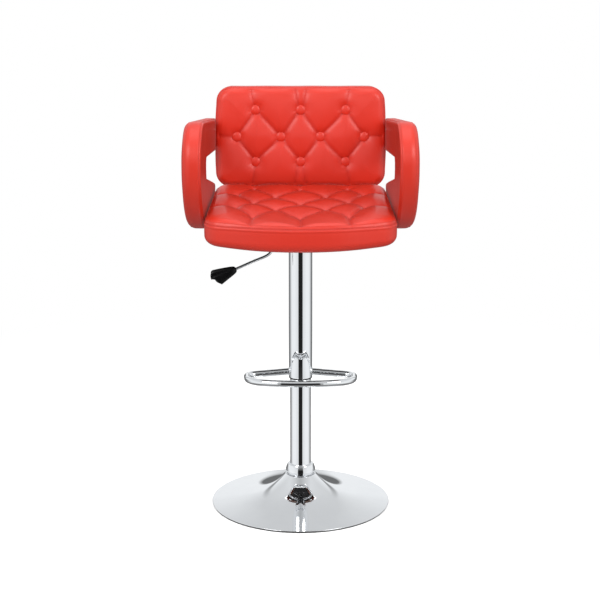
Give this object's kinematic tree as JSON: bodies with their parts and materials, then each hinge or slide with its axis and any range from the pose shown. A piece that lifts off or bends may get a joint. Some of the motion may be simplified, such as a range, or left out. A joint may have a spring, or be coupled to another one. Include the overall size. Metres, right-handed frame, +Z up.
{
  "type": "adjustable swivel bar stool",
  "caption": "Height-adjustable swivel bar stool with a tufted padded seat and back, looped padded arms, footrest, gas lift lever and a round trumpet base.",
  "frame": {"origin": "on the column's axis at floor level; the ballast plate's underside sits 3 mm above it", "axes": "+Z up along the column, -Y the front of the seat, +X to the right seen from the front"},
  "size_m": [0.5362, 0.485, 0.9607],
  "materials": {
    "chrome": "bright chrome plate",
    "red_leather": "red synthetic leather, semi-gloss, fine grain",
    "black_plastic": "moulded, semi-gloss",
    "nylon": "natural nylon",
    "rubber": "matt black",
    "steel": "turned steel",
    "zinc": "zinc-plated fasteners",
    "black_steel": "black powder coat",
    "iron": "raw casting",
    "plywood": "birch plywood",
    "cover_cloth": "black non-woven dust cover"
  },
  "bodies": {
    "base": {"base_plate": "chrome", "floor_ring": "rubber", "ballast_plate": "iron", "column_tube": "chrome", "column_collar": "chrome", "column_guide_bush": "nylon", "column_end_plate": "steel", "thrust_washer_lower": "steel", "thrust_ball_cage": "steel"},
    "rod": {"thrust_washer_upper": "steel", "rubber_buffer": "rubber", "piston_rod": "steel", "retaining_clip": "steel", "piston_head": "nylon"},
    "seat": {"arm_core_left": "plywood", "arm_core_right": "plywood", "arm_left": "red_leather", "arm_right": "red_leather", "arm_strap_left": "black_steel", "arm_strap_right": "black_steel", "backrest_board": "plywood", "backrest_button_1": "red_leather", "backrest_button_10": "red_leather", "backrest_button_2": "red_leather", "backrest_button_3": "red_leather", "backrest_button_4": "red_leather", "backrest_button_5": "red_leather", "backrest_button_6": "red_leather", "backrest_button_7": "red_leather", "backrest_button_8": "red_leather", "backrest_button_9": "red_leather", "backrest_cushion": "red_leather", "backrest_rear_panel": "red_leather", "backrest_stud_left": "zinc", "backrest_stud_right": "zinc", "footrest_ring": "chrome", "gas_cylinder": "black_steel", "lever_pivot_pin": "zinc", "mechanism_box": "black_steel", "plate_bolt_1": "zinc", "plate_bolt_2": "zinc", "plate_bolt_3": "zinc", "plate_bolt_4": "zinc", "rod_guide": "nylon", "seat_board": "plywood", "seat_cushion": "red_leather", "seat_plate": "black_steel", "seat_under_cover": "cover_cloth", "strap_arm_bolt_left": "zinc", "strap_arm_bolt_right": "zinc", "strap_seat_bolt_left": "zinc", "strap_seat_bolt_right": "zinc", "taper_socket": "steel", "upper_tube": "chrome", "upper_tube_bush": "black_plastic", "valve_body": "steel"},
    "lever": {"lever_rod": "chrome", "lever_knob": "black_plastic", "lever_tongue": "black_steel"},
    "valve": {"valve_pin": "steel"}
  },
  "joints": [
    {"name": "seat_swivel", "type": "hinge", "parent": "base", "child": "rod", "pos_m": [0, 0, 0.035], "axis": [0, 0, 1], "continuous": true},
    {"name": "seat_lift", "type": "slide", "parent": "rod", "child": "seat", "axis": [0, 0, 1], "range_m": [-0.2, 0]},
    {"name": "lever_lift", "type": "hinge", "parent": "seat", "child": "lever", "pos_m": [-0.022, 0, 0.6566], "axis": [0, 1, 0], "range_deg": [0, 8], "stiffness_Nm_per_rad": 0.8},
    {"name": "valve_press", "type": "slide", "parent": "seat", "child": "valve", "axis": [0, 0, 1], "range_m": [-0.0032, 0]}
  ],
  "couplings": [
    {"joint": "valve_press", "follows": "lever_lift", "m_per_rad": -0.022}
  ]
}
